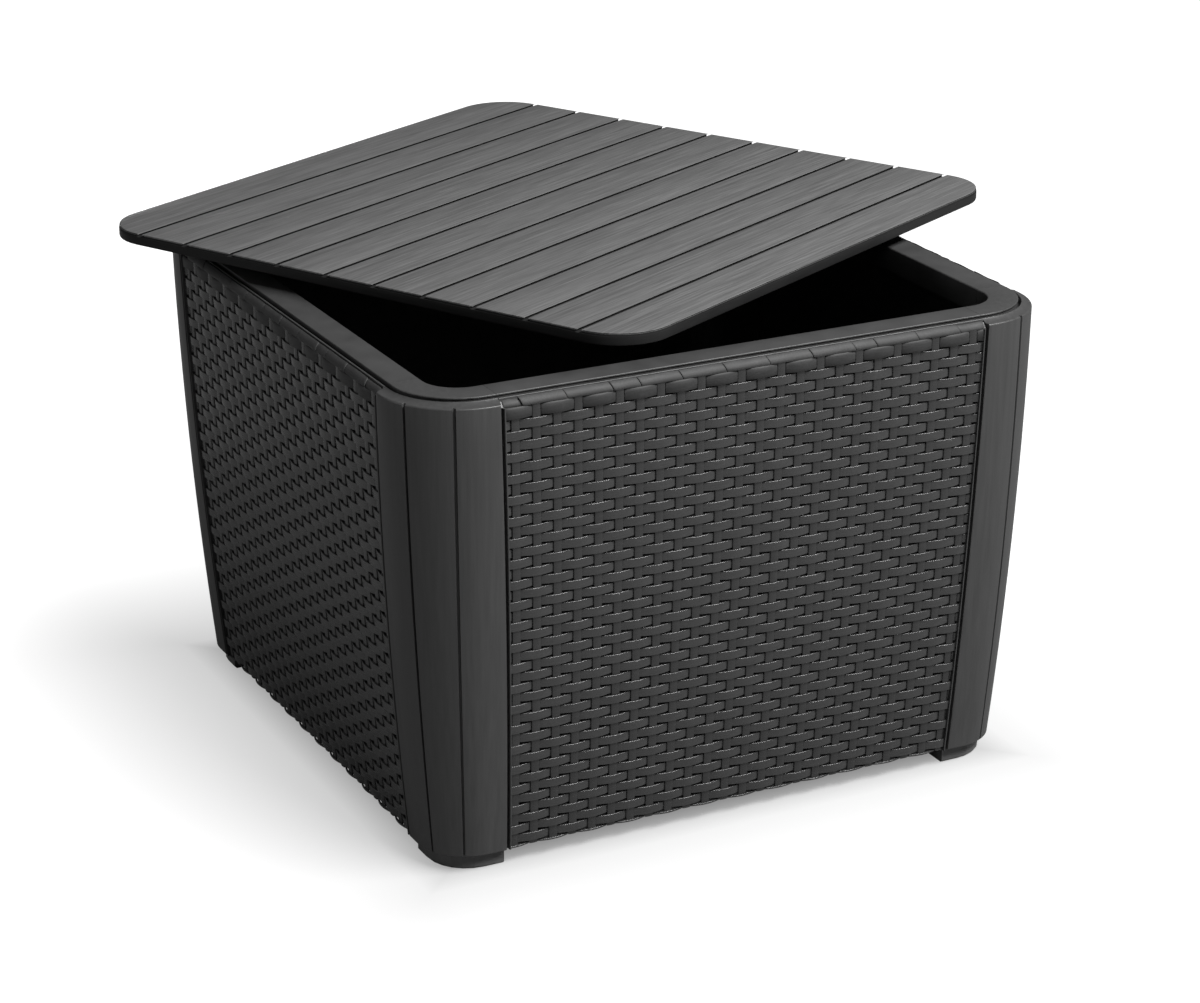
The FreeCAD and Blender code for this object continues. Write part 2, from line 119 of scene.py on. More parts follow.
# Flanges of the posts behind the panels, tongues in the seams, and the panels' hooks
FLANGE_END = 195.0
FLANGE_DEPTH = 10.7
FLANGE_THICK = 4.0
FLANGE_FOOT_Z = 32.0
FLANGE_TOP_Z = 402.0
FLANGE_ROOT = 3.0
FLANGE_LEVELS = 4
TONGUE_DEPTH = 4.0
TONGUE_THICK = 2.5
TONGUE_ROOT = 1.0
TONGUE_CLEARANCE = 0.2
TONGUE_FOOT_LIFT = 0.1
TONGUE_LEVELS = 12
HOOK_HEIGHTS = (90.0, 215.0, 340.0)
HOOK_PLACE = 199.0
HOOK_WIDTH = 10.0
HOOK_HEIGHT = 12.0
HOOK_DROP = 10.0
HOOK_THICK = 3.0
HOOK_ROOT = 1.0
HOOK_CLEARANCE = 0.5

# Panels: the stations of an end are (distance from the end, how far the face is lowered)
PANEL_WALL = 8.5
PANEL_INNER_LEVELS = 8
PANEL_BORDER = 1.3
RECESS_DEPTH = 5.4
END_STATIONS = ((0.0, 0.6), (0.4, 0.1), (1.0, 0.0), (PANEL_BORDER, 0.1), (PANEL_BORDER + 0.2, RECESS_DEPTH))
LEDGE_TOP_Z = 24.0
LEDGE_THICK = 4.0
LEDGE_INNER_HALF = 257.0

# Roll along the top of a panel, in lengths with slanting cuts between them
ROLL_R = 9.0
ROLL_CENTRE_Z = 418.4
ROLL_FOOT_TURN = 8.0
ROLL_TOP_TURN = 62.0
ROLL_POINTS = 9
ROLL_SEAT_START = 3.0
ROLL_SEAT_DROP = 2.6
ROLL_BACK = 6.4
ROLL_SET_BACK = 1.2
ROLL_PROUD = 0.3
ROLL_SWELL = 0.25
ROLL_WAVES = 2.5
ROLL_TUCK = 0.7
ROLL_TUCK_SHARE = 0.15
ROLL_TOP_BACK = 0.3
ROLL_TOP_DROP = 2.6
ROLL_FOOT_BACK = 2.5
ROLL_FOOT_RISE = 0.4
ROLL_END_SINK = 1.3
ROLL_END_GAP = 0.2
ROLL_SLANT = 2.8
ROLL_CUT = 0.3
ROLL_CUT_ROUND = 0.5
ROLL_CUTS = (-212.6, -172.1, -130.4, -105.0, -66.5, -25.4, 15.7, 56.9, 98.3, 119.4, 160.5, 202.4)
ROLL_STATIONS = (0.0, 0.01, 0.03, 0.08, 0.2, 0.4, 0.6, 0.8, 0.92, 0.97, 0.99, 1.0)
ROLL_SHARP_ANGLE = 50.0

# Stakes of the weave: the profile of a side is (distance in from the side, depth behind the front)
WEAVE_TOP_Z = 420.0
WEAVE_SHARP_ANGLE = 30.0
STAKE_COUNT = 24
STAKE_PITCH = 18.88
STAKE_FAN = 0.47
STAKE_WIDTH = 7.7
STAKE_THICK = 1.7
STAKE_FRONT = 2.5
STAKE_PROFILE = ((0.2, STAKE_THICK), (0.0, 0.9), (0.4, 0.45), (1.8, 0.12))
STAKE_FOOT_LIFT = 0.5
STAKE_TOP_RISE = 0.3
STAKE_LEVELS = 30

# Strands of the weave, which pass in front of every other stake, with stations at steps from that stake
STRAND_ROWS = 43
STRAND_PITCH = 9.4
STRAND_TOP_Z = 418.15
STRAND_HEIGHT = 7.9
STRAND_THICK = 1.7
STRAND_ROUND = 0.4
STRAND_FOOT_ROUND = 0.3
STRAND_BACK_EDGE = 0.1
STRAND_FACE_GAP = 0.15
STRAND_FRONT = 1.2
STRAND_END = 3.9
STRAND_BACK = 5.2
STRAND_REACH = 14.7
STRAND_STEPS = (0.0, 3.0, 6.0, 9.0, 11.6, 13.6, STRAND_REACH, 15.0, 16.5)
STRAND_FOOT_LIFT = 0.2
STRAND_END_SINK = 0.3
SAME_PLACE = 0.01
TOP_STRAND_Z = 419.6
TOP_STRAND_ROUND = 3.4
TOP_STRAND_PROUD = 0.9
ROW_MIDDLE_Z = 217.0
ROW_REACH = 200.0
ROW_STRETCH = 2.48
ROW_SAG = 2.72

# Lid: caps of the slats, cores that carry them, skirt, ribs and locating bars
LID_SIDE = 600.0
LID_TURN = 27.5
LID_CORNER_R = 50.0
LID_CORNER_STEPS = 10
LID_EDGE_HEIGHT = 10.8
LID_EDGE_ROUND = 1.2
LID_EDGE_STEP = 0.5
LID_DECK_THICK = 5.0
LID_SKIRT_THICK = 4.0
LID_SKIRT_ROUND = 1.0
LID_SKIRT_BEND = 0.3
LID_RIB_THICK = 3.0
LID_RIB_PLACES = (-150.0, 0.0, 150.0)
SLAT_COUNT = 11
SLAT_GROOVE_WIDTH = 4.2
SLAT_GROOVE_DEPTH = 3.0
SLAT_ROUND = 0.25
SLAT_LIP = 0.05
SLAT_UNDERCUT = 2.0
SLAT_END = 2.5
CORE_INSET = 0.05
CORE_GAP = 0.02
BAR_OUTER_HALF = 264.0
BAR_HALF_LENGTH = 215.0
BAR_THICK = 4.0
NEARLY_STRAIGHT = 0.999

# Greys of the looks, and the grain of the plain ones per metre along X, Y and Z
PANEL_GREY = 0.068
WEAVE_GREY = 0.0405
# The stakes are the weave's own resin painted darker: a painted shade for the shadow between the strands
STAKE_PAINTED_SHADE_GREY = 0.027
ROLL_GREY = 0.056
POST_GREY = 0.068
FOOT_GREY = 0.13
SLAT_GREY = 0.18
# The lid's body under its caps (skirt edge, groove walls and floors, underside) is the slats' resin painted
# near black: a painted shade
LID_EDGE_PAINTED_SHADE_GREY = 0.026
PANEL_GRAIN = (40.0, 40.0, 40.0)
POST_GRAIN = (260.0, 260.0, 9.0)
FOOT_GRAIN = (60.0, 60.0, 60.0)
EDGE_GRAIN = (30.0, 30.0, 200.0)

# Shine of the looks
SPECULAR_LEVEL = 0.5
EDGE_SPECULAR = 0.1
WEAVE_SPECULAR = 1.0
ROLL_SPECULAR = 0.3
PLAIN_ROUGHNESS = (0.34, 0.46)
WEAVE_ROUGHNESS = (0.2, 0.3)
ROLL_ROUGHNESS = (0.5, 0.62)
SLAT_ROUGHNESS = (0.46, 0.58)

# Noise in the resin: scales are per metre, shades are shares of the grey, and bumps are in millimetres
NOISE_RANGE = (0.3, 0.7)
GRIT_BUMP = 0.05
PLAIN_SHADES = (0.88, 1.12)
PLAIN_BUMP = 0.08
PLAIN_GRIT = (900.0, 900.0, 900.0)
FIBRE_SCALE = (400.0, 60.0, 900.0)
FIBRE_RANGE = (0.3, 0.72)
FIBRE_SHADES = (0.75, 1.2)
FIBRE_BUMP = 0.07
RUBBED_SCALE = (45.0, 45.0, 60.0)
RUBBED_SHARE = 0.5
RUBBED_RANGE = (0.35, 0.7)
RUBBED_SHADES = (1.0, 1.9)
WEAVE_GRIT = (700.0, 700.0, 700.0)
WOOD_SCALE = (12.0, 520.0, 12.0)
WOOD_SHADES = (0.5, 1.45)
WOOD_BUMP = 0.3
BAND_SCALE = (2.0, 45.0, 2.0)
BAND_SHADES = (0.9, 1.08)
BAND_SHARE = 0.35
PORE_SCALE = (28.0, 900.0, 28.0)
PORE_RANGE = (0.0, 1.0)
PORE_SHADES = (0.35, 0.35)
PORE_SHARE = 0.4

# Studio: distances in metres, and lamps as (name, place, target, width, depth, watts)
WHITE = (1.0, 1.0, 1.0, 1.0)
REFLECTED_SHARE = 0.08
WORLD_FILL = 0.03
FLOOR_REACH = 20.0
FLOOR_THICK = 0.01
# Painted shadow on the floor: its white is painted darker near the box's footprint and darker still under
# the box
FLOOR_FOOTPRINT = 0.3
FLOOR_PAINTED_SHADOW_REACH = 0.21
FLOOR_PAINTED_CONTACT_START = 0.235
FLOOR_PAINTED_CONTACT_WHITE = 0.25
FLOOR_PAINTED_SHADOW_WHITE = 0.6
FLOOR_SHADE = 0.3
FLOOR_BOUNCE = 0.2
LAMPS = (
    ("main", (1.14, -1.97, 2.83), (0.0, 0.0, 0.3), 2.6, 0.9, 165.0),
    ("fill", (-2.6, 0.8, 1.1), (0.0, 0.0, 0.3), 1.5, 1.5, 7.0),
    ("back", (0.2, 3.0, 0.22), (0.0, 0.3, 0.22), 1.0, 0.4, 36.0),
)

# Camera: place in metres, angles in degrees, lens in millimetres
CAMERA_PLACE = (-1.2788, -2.5615, 1.2780)
CAMERA_YAW = 26.738
CAMERA_PITCH = 20.649
CAMERA_ROLL = -0.2
CAMERA_SENSOR = 36.0
CAMERA_LENS = 98.855


def wall_share(z):
    """Share of the way from the wall's foot to its top."""
    return (z - WALL_FOOT_Z) / (WALL_TOP_Z - WALL_FOOT_Z)


def wall_half(z, depth=0.0):
    """Half width of the box at height z, measured depth inside the outer face of its wall."""
    share = wall_share(z)
    straight = WALL_FOOT_HALF + (WALL_TOP_HALF - WALL_FOOT_HALF) * share
    return straight + 4 * WALL_BULGE * share * (1 - share) - depth


def split(z):
    """Half width of a panel at height z, to the middle of the gap beside it."""
    return SPLIT_FOOT + (SPLIT_TOP - SPLIT_FOOT) * min(wall_share(z), 1.0)


def spread(start, end, count):
    """Evenly spaced values from start to end."""
    return [start + (end - start) * index / (count - 1) for index in range(count)]


def quarter(start, end, corner, steps):
    """Points of a quarter round from start to end that takes off the corner, as (half, z)."""
    centre = [a + b - c for a, b, c in zip(start, end, corner)]
    points = []
    for turn in spread(0.0, math.pi / 2, steps + 1):
        points.append(tuple(
            c + (a - c) * math.cos(turn) + (b - c) * math.sin(turn) for a, b, c in zip(start, end, centre)))
    return points


def smooth_step(value):
    """Soft rise from 0 to 1 as the value goes from 0 to 1."""
    value = min(max(value, 0.0), 1.0)
    return value * value * (3 - 2 * value)


class Builder:
    """Collects points and faces of one mesh."""

    def __init__(self):
        self.verts = []
        self.faces = []

    def sweep(self, rings):
        """Closed skin through rings of points, with both ends capped."""
        count = len(rings[0])
        base = len(self.verts)
        for ring in rings:
            self.verts.extend(ring)
        for row in range(len(rings) - 1):
            for index in range(count):
                a = base + row * count + index
                b = base + row * count + (index + 1) % count
                self.faces.append((a, b, b + count, a + count))
        last = base + (len(rings) - 1) * count
        self.faces.append(tuple(reversed(range(base, base + count))))
        self.faces.append(tuple(range(last, last + count)))

    def block(self, low, high):
        """Box between two corners."""
        (x0, y0, z0), (x1, y1, z1) = low, high
        plan = ((x0, y0), (x1, y0), (x1, y1), (x0, y1))
        self.sweep([[(x, y, z) for x, y in plan] for z in (z0, z1)])

    def make(self, name, sharp_angle=SHARP_ANGLE):
        """Mesh object in metres, shaded smooth but for its sharp edges."""
        mesh = bpy.data.meshes.new(name)
        mesh.from_pydata([[value * MM for value in vert] for vert in self.verts], [], self.faces)
        mesh.shade_smooth()
        mesh.set_sharp_from_angle(angle=math.radians(sharp_angle))
        piece = bpy.data.objects.new(name, mesh)
        bpy.context.scene.collection.objects.link(piece)
        return piece


def turned_copy(piece, name, angle):
    """The same mesh, turned about the box's upright axis."""
    copy = bpy.data.objects.new(name, piece.data)
    copy.rotation_euler.z = math.radians(angle)
    bpy.context.scene.collection.objects.link(copy)
    return copy


def rim_section():
    """Rim from its outer groove over the top to the foot of the lip and back under it, as (half, z)."""
    groove_z = RIM_LEDGE_Z - RIM_GROOVE_DEPTH
    groove_outer = RIM_OUTER_HALF + RIM_GROOVE_WIDTH
    groove_inner = RIM_OUTER_HALF - RIM_UNDERCUT
    edge_foot_z = RIM_TOP_Z - RIM_EDGE_HEIGHT
    lip_foot_z = RIM_TOP_Z - RIM_LIP_DROP
    lip_back = RIM_INNER_HALF + RIM_LIP_THICK
    under_z = RIM_TOP_Z - RIM_THICK
    step = groove_inner - RIM_THICK
    ledge_under_z = groove_z - RIM_THICK
    points = [
        (groove_outer + DRAFT + CHAMFER, RIM_LEDGE_Z),
        (groove_outer + DRAFT, RIM_LEDGE_Z - CHAMFER),
        (groove_outer, groove_z),
        (groove_inner, groove_z),
        (groove_inner, edge_foot_z),
        (RIM_OUTER_HALF - RIM_EDGE_INSET, edge_foot_z),
    ]
    outer_side = (RIM_OUTER_HALF, RIM_TOP_Z - RIM_OUTER_ROUND)
    outer_top = (RIM_OUTER_HALF - RIM_OUTER_ROUND, RIM_TOP_Z)
    points += quarter(outer_side, outer_top, (RIM_OUTER_HALF, RIM_TOP_Z), ROUND_STEPS)
    inner_top = (RIM_INNER_HALF + RIM_INNER_ROUND, RIM_TOP_Z)
    inner_side = (RIM_INNER_HALF, RIM_TOP_Z - RIM_INNER_ROUND)
    points += quarter(inner_top, inner_side, (RIM_INNER_HALF, RIM_TOP_Z), RIM_INNER_STEPS)
    points += [
        (RIM_INNER_HALF, lip_foot_z),
        (lip_back, lip_foot_z),
        (lip_back, under_z),
        (step, under_z),
        (step, ledge_under_z),
        (WALL_TOP_HALF - POST_WALL - RIM_THICK, ledge_under_z),
    ]
    return points


def post_section():
    """Section of a post as (half, z, share of the plank grooves, whether it meets the panel tightly)."""
    section = [(wall_half(WALL_FOOT_Z, PLANK_EDGE), WALL_FOOT_Z, 1.0, False)]
    shoulder_foot_z = POST_SHOULDER_Z - POST_SHOULDER_R
    for z in spread(WALL_FOOT_Z + PLANK_EDGE, shoulder_foot_z, WALL_LEVELS):
        section.append((wall_half(z), z, 1.0, False))
    half = wall_half(shoulder_foot_z)
    ledge_start = half - POST_SHOULDER_R
    shoulder_top = (ledge_start, POST_SHOULDER_Z)
    shoulder = quarter((half, shoulder_foot_z), shoulder_top, (half, POST_SHOULDER_Z), ROUND_STEPS)
    for index, (place, z) in enumerate(shoulder[1:]):
        section.append((place, z, 1.0 - index / ROUND_STEPS, False))
    ledge_run = ledge_start - RIM_OUTER_HALF - RIM_GROOVE_WIDTH
    ledge_rise = RIM_LEDGE_Z - POST_SHOULDER_Z
    for share in POST_LEDGE_SHARES:
        z = RIM_LEDGE_Z - ledge_rise * math.cos(share * math.pi / 2)
        section.append((ledge_start - share * ledge_run, z, 0.0, True))
    section += [(place, z, 0.0, True) for place, z in rim_section()]
    for z in spread(WALL_TOP_Z - RIM_THICK, POST_BASE_TOP_Z, POST_INNER_LEVELS):
        section.append((wall_half(z, POST_WALL), z, 0.0, False))
    section.append((POST_BASE_INNER_HALF, POST_BASE_TOP_Z, 0.0, False))
    section.append((POST_BASE_INNER_HALF, WALL_FOOT_Z, 0.0, False))
    return section


def groove_depth(turn):
    """Depth of the nearest plank groove at an angle round the corner."""
    away = min(abs(math.radians(turn - groove)) * CORNER_R for groove in PLANK_GROOVES)
    inside = PLANK_GROOVE_HALF + PLANK_GROOVE_EDGE - away
    return PLANK_GROOVE_DEPTH * smooth_step(inside / (2 * PLANK_GROOVE_EDGE))


def corner_turns():
    """Angles round a corner, closer together at the plank grooves."""
    reaches = spread(-PLANK_GROOVE_REACH, PLANK_GROOVE_REACH, PLANK_GROOVE_POINTS)
    turns = [groove + math.degrees(away / CORNER_R) for groove in PLANK_GROOVES for away in reaches]
    clear = math.degrees(PLANK_GROOVE_CLEAR / CORNER_R)
    for turn in spread(0.0, 90.0, int(90 / CORNER_STEP) + 1):
        if all(abs(turn - groove) > clear for groove in PLANK_GROOVES):
            turns.append(turn)
    return sorted(turns)


def flank_ring(section, share, lowered):
    """Ring of a post's flank, at a share of the way from its edge to the corner."""
    ring = []
    for half, z, grooved, tight in section:
        edge = split(z) + (SEAM_GAP if tight else SPLIT_GAP)
        ring.append((half - lowered * grooved, edge + share * (CORNER_AXIS - edge), z))
    return ring


def corner_ring(section, turn):
    """Ring of a post's rounded corner at one angle."""
    angle = math.radians(turn)
    ring = []
    for half, z, grooved, _ in section:
        radius = half - grooved * groove_depth(turn) - CORNER_AXIS
        ring.append((CORNER_AXIS + radius * math.cos(angle), CORNER_AXIS + radius * math.sin(angle), z))
    return ring


def post_mesh():
    """Back right post: rounded planked corner, two flanks, flanges for the panels' hooks, and tongues."""
    section = post_section()
    flank = [flank_ring(section, share, lowered) for share, lowered in FLANK_STATIONS]
    far_flank = [[(y, x, z) for x, y, z in ring] for ring in reversed(flank)]
    builder = Builder()
    builder.sweep(flank + [corner_ring(section, turn) for turn in corner_turns()] + far_flank)
    for mirrored in (False, True):
        flange_sheet(builder, mirrored)
        seam_tongue(builder, mirrored)
    return builder.make("back_right_post_skin")


def upright(builder, mirrored, depth, thick, sides):
    """Upright strip that follows a wall, with the places of its two sides given as (z, start, end)."""
    rings = []
    for z, start, end in sides:
        outer = wall_half(z, depth)
        inner = outer - thick
        ring = [(outer, start, z), (outer, end, z), (inner, end, z), (inner, start, z)]
        rings.append([(y, x, z) for x, y, z in ring] if mirrored else ring)
    builder.sweep(rings)


def seam_tongue(builder, mirrored):
    """Tongue of a post that fills the back of the seam beside a panel, so that no light passes."""
    sides = []
    for z in spread(WALL_FOOT_Z + TONGUE_FOOT_LIFT, WALL_TOP_Z - RIM_THICK, TONGUE_LEVELS):
        sides.append((z, split(z) - SPLIT_GAP + TONGUE_CLEARANCE, split(z) + SPLIT_GAP + TONGUE_ROOT))
    upright(builder, mirrored, TONGUE_DEPTH, TONGUE_THICK, sides)


def flange_sheet(builder, mirrored):
    """Flange behind a panel's edge, with a slot at each hook."""
    slots = []
    heights = [FLANGE_FOOT_Z, FLANGE_TOP_Z]
    for z in HOOK_HEIGHTS:
        low = z - HOOK_HEIGHT / 2 - HOOK_CLEARANCE
        high = low + HOOK_HEIGHT + HOOK_DROP + 2 * HOOK_CLEARANCE
        slots.append((low, high))
        heights += [low, high]
    heights.sort()
    slot_start = HOOK_PLACE - HOOK_CLEARANCE
    slot_end = HOOK_PLACE + HOOK_WIDTH + HOOK_CLEARANCE
    depth = FLANGE_DEPTH - FLANGE_THICK / 2
    for low, high in zip(heights, heights[1:]):
        levels = spread(low, high, FLANGE_LEVELS)
        start = FLANGE_END
        if (low, high) in slots:
            upright(builder, mirrored, depth, FLANGE_THICK, [(z, start, slot_start) for z in levels])
            start = slot_end
        sides = [(z, start, split(z) + SPLIT_GAP + FLANGE_ROOT) for z in levels]
        upright(builder, mirrored, depth, FLANGE_THICK, sides)


def panel_section():
    """Section of a panel behind its weave, as (half, z, whether the recess lowers it, tight seam)."""
    face = [(wall_half(WALL_FOOT_Z, CHAMFER), WALL_FOOT_Z)]
    face_levels = spread(WALL_FOOT_Z + 2 * CHAMFER, WEAVE_TOP_Z, WALL_LEVELS)
    face += [(wall_half(z), z) for z in [WALL_FOOT_Z + CHAMFER] + face_levels]
    seat_half = wall_half(WEAVE_TOP_Z)
    seat_z = RIM_LEDGE_Z - ROLL_SEAT_DROP
    ledge_outer = RIM_OUTER_HALF + RIM_GROOVE_WIDTH + RIM_LEDGE_STRIP
    top = [
        (seat_half - ROLL_SEAT_START, WEAVE_TOP_Z + CHAMFER),
        (seat_half - ROLL_BACK, seat_z),
        (ledge_outer, seat_z),
        (ledge_outer - DRAFT, RIM_LEDGE_Z - CHAMFER + DRAFT),
        (ledge_outer - CHAMFER, RIM_LEDGE_Z),
    ]
    top += rim_section()
    inner_levels = spread(WALL_TOP_Z - RIM_THICK, LEDGE_TOP_Z, PANEL_INNER_LEVELS)
    inside = [(wall_half(z, PANEL_WALL), z) for z in inner_levels]
    under_z = LEDGE_TOP_Z - LEDGE_THICK
    inside += [(LEDGE_INNER_HALF, LEDGE_TOP_Z), (LEDGE_INNER_HALF, under_z)]
    inside += [(wall_half(z, PANEL_WALL), z) for z in (under_z, WALL_FOOT_Z)]
    section = [(half, z, True, False) for half, z in face]
    section += [(half, z, False, True) for half, z in top]
    section += [(half, z, False, False) for half, z in inside]
    return section


def panel_ring(section, side, inset, recess):
    """Ring of a panel at a distance from one of its slanted ends."""
    ring = []
    for half, z, recessed, tight in section:
        end = split(z) - (SEAM_GAP if tight else SPLIT_GAP)
        depth = recess if recessed else 0.0
        ring.append((half - depth, side * (end - inset), z))
    return ring


def hook(builder, z, side):
    """Hook on the inside of a panel, dropped behind the post's flange."""
    top_z = z + HOOK_HEIGHT / 2
    stem_z = z - HOOK_HEIGHT / 2
    head_z = stem_z - HOOK_DROP
    back = wall_half(head_z, FLANGE_DEPTH + FLANGE_THICK / 2) - HOOK_CLEARANCE
    front = wall_half(z, PANEL_WALL - HOOK_ROOT)
    start, end = sorted((side * HOOK_PLACE, side * (HOOK_PLACE + HOOK_WIDTH)))
    builder.block((back - HOOK_THICK, start, head_z), (back, end, top_z))
    builder.block((back, start, stem_z), (front, end, top_z))


def panel_mesh():
    """Right-hand panel without its weave: border, rim, inner wall, floor ledge and hooks."""
    section = panel_section()
    rings = [panel_ring(section, -1, inset, recess) for inset, recess in END_STATIONS]
    rings += [panel_ring(section, 1, inset, recess) for inset, recess in reversed(END_STATIONS)]
    builder = Builder()
    builder.sweep(rings)
    for z in HOOK_HEIGHTS:
        for side in (-1, 1):
            hook(builder, z, side)
    return builder.make("right_panel_body")


def stake_pitch(z):
    """Distance between stakes, which close up a little toward the foot as the panel narrows."""
    return STAKE_PITCH * (1 + STAKE_FAN * (split(z) / SPLIT_TOP - 1))


def stake_place(index, z):
    """Place along the wall of a stake's middle at height z."""
    return (index - (STAKE_COUNT - 1) / 2) * stake_pitch(z)


def row_height(row):
    """Height of a course's middle. The courses lie a little closer together toward the top."""
    z = STRAND_TOP_Z - (row + 0.5) * STRAND_PITCH
    share = (z - ROW_MIDDLE_Z) / ROW_REACH
    return z + ROW_STRETCH * share - ROW_SAG * share * share


def stake(builder, index):
    """Upright flat stake of the weave, trimmed by the panel's slanted ends."""
    rings = []
    for z in spread(WALL_FOOT_Z + STAKE_FOOT_LIFT, WEAVE_TOP_Z + STAKE_TOP_RISE, STAKE_LEVELS):
        place = stake_place(index, z)
        limit = split(z) - SPLIT_GAP - PANEL_BORDER
        start = max(place - STAKE_WIDTH / 2, -limit)
        end = min(place + STAKE_WIDTH / 2, limit)
        front = wall_half(z, STAKE_FRONT)
        ring = [(front - depth, start + inset, z) for inset, depth in STAKE_PROFILE]
        ring.append((front, (start + end) / 2, z))
        ring += [(front - depth, end - inset, z) for inset, depth in reversed(STAKE_PROFILE)]
        rings.append(ring)
    builder.sweep(rings)


def strand_depth(away):
    """Depth of a strand's front at a distance from the stake that it passes: bowed out, then behind."""
    if away <= STRAND_REACH:
        return STRAND_FRONT + (STRAND_END - STRAND_FRONT) * (away / STRAND_REACH) ** 2
    return STRAND_BACK


def strand_section(height, top_round):
    """Section of a strand as (rise, depth behind its front): a flat ribbon with slightly rounded edges."""
    top = height / 2
    round_depth = min(top_round, STRAND_THICK - STRAND_BACK_EDGE)
    section = [
        (-top, STRAND_THICK),
        (-top, STRAND_FOOT_ROUND),
        (-top + STRAND_FOOT_ROUND, 0.0),
        (top - top_round - STRAND_FACE_GAP, 0.0),
    ]
    for turn in spread(0.0, math.pi / 2, ROUND_STEPS + 1):
        section.append((top - top_round * (1 - math.sin(turn)), round_depth * (1 - math.cos(turn))))
    section.append((top, STRAND_THICK))
    return section


def strand_stations(row, middle, limit):
    """Places along a course with the depth of its front, from border to border."""
    scale = stake_pitch(middle) / STAKE_PITCH
    stations = set()
    for index in range(-2, STAKE_COUNT + 2):
        if (index + row) % 2:
            continue
        for side in (-1, 1):
            for away in STRAND_STEPS:
                stations.add((stake_place(index, middle) + side * away * scale, strand_depth(away)))
    inside = sorted(station for station in stations if abs(station[0]) < limit - STRAND_END_SINK)
    first = max(station for station in stations if station[0] <= inside[0][0] - SAME_PLACE)
    last = min(station for station in stations if station[0] >= inside[-1][0] + SAME_PLACE)
    return [(-limit, first[1])] + inside + [(limit, last[1])]


def strand(builder, row):
    """One course of the weave, from border to border. The top one is taller, rounder and stands out."""
    middle = row_height(row)
    height = STRAND_HEIGHT
    top_round = STRAND_ROUND
    proud = 0.0
    if row == 0:
        height = TOP_STRAND_Z - middle + STRAND_HEIGHT / 2
        middle = TOP_STRAND_Z - height / 2
        top_round = TOP_STRAND_ROUND
        proud = TOP_STRAND_PROUD
    foot = WALL_FOOT_Z + STRAND_FOOT_LIFT
    if middle - height / 2 < foot:
        top = middle + height / 2
        middle = (top + foot) / 2
        height = top - foot
    limit = split(middle) - SPLIT_GAP - PANEL_BORDER + STRAND_END_SINK
    rings = []
    for place, depth in strand_stations(row, middle, limit):
        rings.append([
            (wall_half(middle + rise) + proud - depth - behind, place, middle + rise)
            for rise, behind in strand_section(height, top_round)
        ])
    builder.sweep(rings)


def stakes_mesh():
    """Upright stakes of the right-hand panel's weave."""
    builder = Builder()
    for index in range(STAKE_COUNT):
        stake(builder, index)
    return builder.make("right_panel_stakes", WEAVE_SHARP_ANGLE)


def weave_mesh():
    """Strands of the right-hand panel's weave, all but the top one."""
    builder = Builder()
    for row in range(1, STRAND_ROWS):
        strand(builder, row)
    return builder.make("right_panel_weave", WEAVE_SHARP_ANGLE)


def roll_ring(place, slant, swell):
    """Ring of the roll, leaning along the wall so that a cut through it slants."""
    centre = WALL_TOP_HALF - ROLL_SET_BACK - ROLL_R
    ring = []
    for share in spread(0.0, 1.0, ROLL_POINTS):
        angle = math.radians(ROLL_FOOT_TURN + (ROLL_TOP_TURN - ROLL_FOOT_TURN) * share)
        radius = ROLL_R + swell - ROLL_TUCK * (1 - smooth_step(share / ROLL_TUCK_SHARE))
        half = centre + radius * math.cos(angle)
        z = ROLL_CENTRE_Z + radius * math.sin(angle)
        ring.append((half, place + slant * (0.5 - share), z))
    foot, top = ring[0], ring[-1]
    ring.append((top[0] - ROLL_TOP_BACK, top[1], top[2] - ROLL_TOP_DROP))
    ring.append((foot[0] - ROLL_FOOT_BACK, foot[1], foot[2] + ROLL_FOOT_RISE))
    return ring


def roll_mesh():
    """Rolled top of the right-hand weave, in lengths between slanting cuts, and the strand below it."""
    limit = split(WALL_TOP_Z) - SPLIT_GAP - ROLL_END_GAP
    cuts = (-limit,) + ROLL_CUTS + (limit,)
    builder = Builder()
    strand(builder, 0)
    for start, end in zip(cuts, cuts[1:]):
        slant_start = 0.0 if start == cuts[0] else ROLL_SLANT
        slant_end = 0.0 if end == cuts[-1] else ROLL_SLANT
        sink = ROLL_END_SINK if start == cuts[0] or end == cuts[-1] else 0.0
        rings = []
        for share in ROLL_STATIONS:
            from_cut = min(share, 1 - share) * (end - start)
            swell = ROLL_PROUD * (1 - math.exp(-from_cut / ROLL_CUT_ROUND))
            swell += ROLL_SWELL * math.sin(ROLL_WAVES * math.pi * share + start)
            slant = slant_start + (slant_end - slant_start) * share
            place = start + share * (end - start) + ROLL_CUT * (1 - 2 * share)
            rings.append(roll_ring(place, slant, swell - sink))
        builder.sweep(rings)
    return builder.make("right_panel_roll", ROLL_SHARP_ANGLE)


def inset_outline(outline, insets):
    """Outline moved inward, each edge by its own distance. Edge i runs from point i to the next."""
    count = len(outline)
    moved = []
    for index in range(count):
        before = Vector(outline[index - 1])
        here = Vector(outline[index])
        after = Vector(outline[(index + 1) % count])
        along_in = (here - before).normalized()
        along_out = (after - here).normalized()
        normal_in = Vector((-along_in.y, along_in.x))
        normal_out = Vector((-along_out.y, along_out.x))
        if along_in.dot(along_out) > NEARLY_STRAIGHT:
            moved.append(tuple(here + normal_in * insets[index]))
            continue
        offset_in = normal_in.dot(here) + insets[index - 1]
        offset_out = normal_out.dot(here) + insets[index]
        det = normal_in.x * normal_out.y - normal_in.y * normal_out.x
        moved.append((
            (offset_in * normal_out.y - offset_out * normal_in.y) / det,
            (offset_out * normal_in.x - offset_in * normal_out.x) / det,
        ))
    return moved


